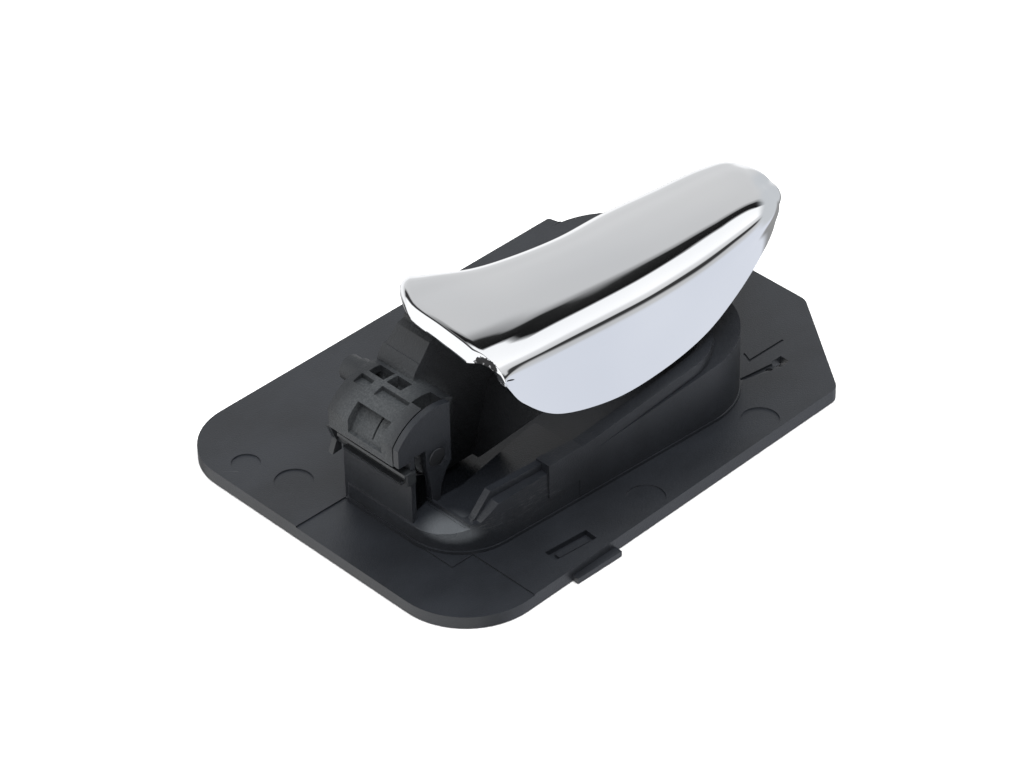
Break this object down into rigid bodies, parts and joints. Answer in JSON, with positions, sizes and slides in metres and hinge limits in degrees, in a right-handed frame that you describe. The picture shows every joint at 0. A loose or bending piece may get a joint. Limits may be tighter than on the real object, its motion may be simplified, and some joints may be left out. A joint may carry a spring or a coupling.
{
  "type": "inside door handle",
  "caption": "Inside door handle of a car: a plated pull lever, curved in plan and section, hinged on a black moulded housing with a hollow pan and a flat trim flange",
  "frame": {"origin": "middle of the bounding box in plan, on the back of the flange", "axes": "+X along the handle towards the lever's free end, +Y across it away from the stepped-rim side, +Z out of the door towards the hand"},
  "size_m": [0.1246, 0.0887, 0.0446],
  "materials": {
    "black_moulding": "black moulded plastic, fine satin grain",
    "black_lever": "black glass-filled plastic, rough grain",
    "plating": "bright plating, chipped at the hinge end",
    "steel": "plain drawn steel",
    "spring_steel": "oiled spring wire",
    "rubber": "matt black rubber",
    "black_clip": "black plastic, slightly glossy"
  },
  "bodies": {
    "base": {"housing": "black_moulding", "hinge_pin": "steel", "pin_clip": "steel", "return_spring": "spring_steel", "rest_buffer": "rubber", "stop_buffer": "rubber", "edge_clip": "black_clip"},
    "lever": {"lever_arm": "black_lever", "lever_cover": "plating"}
  },
  "joints": [
    {"name": "lever_hinge", "type": "hinge", "parent": "base", "child": "lever", "pos_m": [-0.0422, 0, 0.0195], "axis": [0, -1, 0], "range_deg": [0, 42], "stiffness_Nm_per_rad": 0.02, "springref_deg": -25.78}
  ]
}
